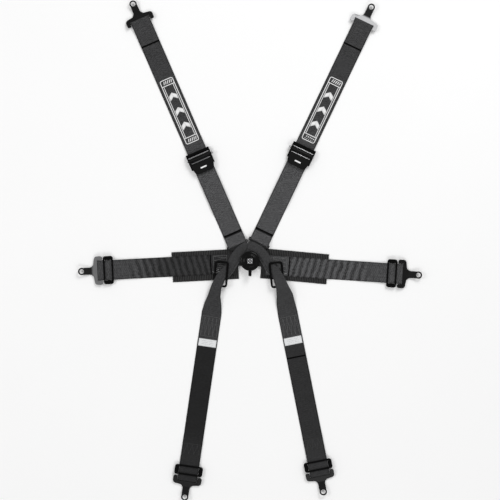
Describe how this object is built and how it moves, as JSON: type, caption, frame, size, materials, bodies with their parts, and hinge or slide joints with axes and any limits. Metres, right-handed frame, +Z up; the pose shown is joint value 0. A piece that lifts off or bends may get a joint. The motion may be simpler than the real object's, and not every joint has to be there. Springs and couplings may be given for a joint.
{
  "type": "racing harness",
  "caption": "Motorsport harness laid flat: rotary cam-lock buckle, shoulder, lap and crotch straps of black webbing, tilt adjusters, bar slides and bent bolt-in brackets.",
  "frame": {"origin": "centre of the buckle's flat back, on the plane the harness lies on", "axes": "+Y towards the shoulder straps' brackets, +X towards the right lap strap's bracket, +Z up out of the plane, towards the knob"},
  "size_m": [0.868, 1.2618, 0.0272],
  "materials": {
    "webbing": "plain-woven polyester webbing, near black",
    "pad_webbing": "wide ribbed webbing, black",
    "lower_webbing": "plain-woven polyester webbing, darker black",
    "black_steel": "black plated and painted steel, semi-gloss",
    "dark_plated_steel": "dark plated sheet steel, satin",
    "tongue_steel": "brushed steel",
    "bare_steel": "machined steel",
    "spring_steel": "spring wire",
    "black_moulding": "gloss black moulding",
    "housing_alloy": "black anodised alloy",
    "label": "white woven label"
  },
  "bodies": {
    "buckle": {"buckle_base": "housing_alloy", "buckle_housing": "housing_alloy", "buckle_screws": "bare_steel", "pin_guide_plate": "bare_steel", "centre_post": "bare_steel", "fixed_pin": "bare_steel", "pin_springs": "spring_steel", "eject_springs": "spring_steel", "knob_spring": "spring_steel", "tongue_lap_left": "tongue_steel", "crotch_band_left": "webbing", "crotch_band_right": "webbing", "strap_ring_left": "black_steel", "strap_ring_right": "black_steel"},
    "turn_knob": {"knob": "black_moulding", "cam_hub": "bare_steel", "knob_cap": "black_moulding", "knob_screw": "bare_steel"},
    "pins": {"latch_pins": "bare_steel"},
    "lap_tongue_right": {"tongue_lap_right": "tongue_steel"},
    "shoulder_tongue_left": {"tongue_shoulder_left": "tongue_steel"},
    "shoulder_tongue_right": {"tongue_shoulder_right": "tongue_steel"},
    "shoulder_strap_left": {"shoulder_lower_left": "webbing", "adjuster_frame_left": "black_steel", "adjuster_pin_left": "bare_steel", "adjuster_bars_left": "bare_steel", "adjuster_spring_left": "spring_steel"},
    "release_lever_left": {"adjuster_lever_left": "black_moulding"},
    "upper_strap_left": {"shoulder_upper_left": "webbing"},
    "shoulder_bracket_left": {"bracket_shoulder_left": "dark_plated_steel"},
    "shoulder_strap_right": {"shoulder_lower_right": "webbing", "adjuster_frame_right": "black_steel", "adjuster_pin_right": "bare_steel", "adjuster_bars_right": "bare_steel", "adjuster_spring_right": "spring_steel"},
    "release_lever_right": {"adjuster_lever_right": "black_moulding"},
    "upper_strap_right": {"shoulder_upper_right": "webbing"},
    "shoulder_bracket_right": {"bracket_shoulder_right": "dark_plated_steel"},
    "lap_belt_left": {"lap_strap_left": "webbing", "lap_pad_left": "pad_webbing", "lap_slide_left": "black_steel"},
    "lap_bracket_left": {"bracket_lap_left": "dark_plated_steel"},
    "lap_belt_right": {"lap_strap_right": "webbing", "lap_pad_right": "pad_webbing", "lap_slide_right": "black_steel"},
    "lap_bracket_right": {"bracket_lap_right": "dark_plated_steel"},
    "crotch_belt_left": {"crotch_strap_left": "lower_webbing", "crotch_slide_left": "black_steel", "crotch_label_left": "label"},
    "crotch_bracket_left": {"bracket_crotch_left": "dark_plated_steel"},
    "crotch_belt_right": {"crotch_strap_right": "lower_webbing", "crotch_slide_right": "black_steel", "crotch_label_right": "label"},
    "crotch_bracket_right": {"bracket_crotch_right": "dark_plated_steel"}
  },
  "joints": [
    {"name": "knob_turn", "type": "hinge", "parent": "buckle", "child": "turn_knob", "pos_m": [0, 0, 0.02], "axis": [0, 0, 1], "range_deg": [0, 60], "stiffness_Nm_per_rad": 0.15, "springref_deg": -11.46},
    {"name": "pins_lift", "type": "slide", "parent": "buckle", "child": "pins", "axis": [0, 0, 1], "range_m": [0, 0.0035]},
    {"name": "lap_tongue_right_out", "type": "slide", "parent": "buckle", "child": "lap_tongue_right", "axis": [0.9828, -0.1846, 0], "range_m": [0, 0.0035]},
    {"name": "shoulder_tongue_left_out", "type": "slide", "parent": "buckle", "child": "shoulder_tongue_left", "axis": [-0.6135, 0.7897, 0], "range_m": [0, 0.0035]},
    {"name": "shoulder_tongue_right_out", "type": "slide", "parent": "buckle", "child": "shoulder_tongue_right", "axis": [0.3902, 0.9207, 0], "range_m": [0, 0.0035]},
    {"name": "shoulder_left_swing", "type": "hinge", "parent": "shoulder_tongue_left", "child": "shoulder_strap_left", "pos_m": [-0.0326, 0.0432, 0.00575], "axis": [0.9174, 0.3979, 0], "range_deg": [-80, 0]},
    {"name": "release_lever_left_lift", "type": "hinge", "parent": "shoulder_strap_left", "child": "release_lever_left", "pos_m": [-0.12731, 0.26154, 0.0092], "axis": [-0.9174, -0.3979, 0], "range_deg": [0, 60], "stiffness_Nm_per_rad": 0.05, "springref_deg": -11.46},
    {"name": "upper_strap_left_adjust", "type": "slide", "parent": "shoulder_strap_left", "child": "upper_strap_left", "axis": [-0.3979, 0.9174, 0], "range_m": [-0.015, 0.06]},
    {"name": "shoulder_bracket_left_swing", "type": "hinge", "parent": "upper_strap_left", "child": "shoulder_bracket_left", "pos_m": [-0.27758, 0.60796, 0.007], "axis": [0.9174, 0.3979, 0], "range_deg": [-60, 60]},
    {"name": "shoulder_right_swing", "type": "hinge", "parent": "shoulder_tongue_right", "child": "shoulder_strap_right", "pos_m": [0.0239, 0.0484, 0.00575], "axis": [0.9027, -0.4304, 0], "range_deg": [-80, 0]},
    {"name": "release_lever_right_lift", "type": "hinge", "parent": "shoulder_strap_right", "child": "release_lever_right", "pos_m": [0.13149, 0.27407, 0.0092], "axis": [-0.9027, 0.4304, 0], "range_deg": [0, 60], "stiffness_Nm_per_rad": 0.05, "springref_deg": -11.46},
    {"name": "upper_strap_right_adjust", "type": "slide", "parent": "shoulder_strap_right", "child": "upper_strap_right", "axis": [0.4304, 0.9027, 0], "range_m": [-0.015, 0.06]},
    {"name": "shoulder_bracket_right_swing", "type": "hinge", "parent": "upper_strap_right", "child": "shoulder_bracket_right", "pos_m": [0.28715, 0.60056, 0.007], "axis": [0.9027, -0.4304, 0], "range_deg": [-60, 60]},
    {"name": "lap_left_swing", "type": "hinge", "parent": "buckle", "child": "lap_belt_left", "pos_m": [-0.044, -0.0065, 0.00575], "axis": [-0.0523, 0.9986, 0], "range_deg": [-75, 0]},
    {"name": "lap_bracket_left_swing", "type": "hinge", "parent": "lap_belt_left", "child": "lap_bracket_left", "pos_m": [-0.38084, -0.02415, 0.007], "axis": [-0.0523, 0.9986, 0], "range_deg": [-60, 60]},
    {"name": "lap_right_swing", "type": "hinge", "parent": "lap_tongue_right", "child": "lap_belt_right", "pos_m": [0.044, -0.0105, 0.00575], "axis": [-0.0654, -0.9979, 0], "range_deg": [-75, 0]},
    {"name": "lap_bracket_right_swing", "type": "hinge", "parent": "lap_belt_right", "child": "lap_bracket_right", "pos_m": [0.38128, -0.03261, 0.007], "axis": [-0.0654, -0.9979, 0], "range_deg": [-60, 60]},
    {"name": "crotch_left_swing", "type": "hinge", "parent": "buckle", "child": "crotch_belt_left", "pos_m": [-0.09603, -0.1272, 0.0002], "axis": [-0.9895, 0.1449, 0], "range_deg": [-75, 0]},
    {"name": "crotch_bracket_left_swing", "type": "hinge", "parent": "crotch_belt_left", "child": "crotch_bracket_left", "pos_m": [-0.1582, -0.55177, 0.007], "axis": [-0.9895, 0.1449, 0], "range_deg": [-60, 60]},
    {"name": "crotch_right_swing", "type": "hinge", "parent": "buckle", "child": "crotch_belt_right", "pos_m": [0.09404, -0.1272, 0.0002], "axis": [-0.9806, -0.1961, 0], "range_deg": [-75, 0]},
    {"name": "crotch_bracket_right_swing", "type": "hinge", "parent": "crotch_belt_right", "child": "crotch_bracket_right", "pos_m": [0.17641, -0.53904, 0.007], "axis": [-0.9806, -0.1961, 0], "range_deg": [-60, 60]}
  ],
  "couplings": [
    {"joint": "knob_turn", "follows": "pins_lift", "rad_per_m": 299.2},
    {"joint": "lap_tongue_right_out", "follows": "pins_lift", "ratio": 1},
    {"joint": "shoulder_tongue_left_out", "follows": "pins_lift", "ratio": 1},
    {"joint": "shoulder_tongue_right_out", "follows": "pins_lift", "ratio": 1}
  ]
}
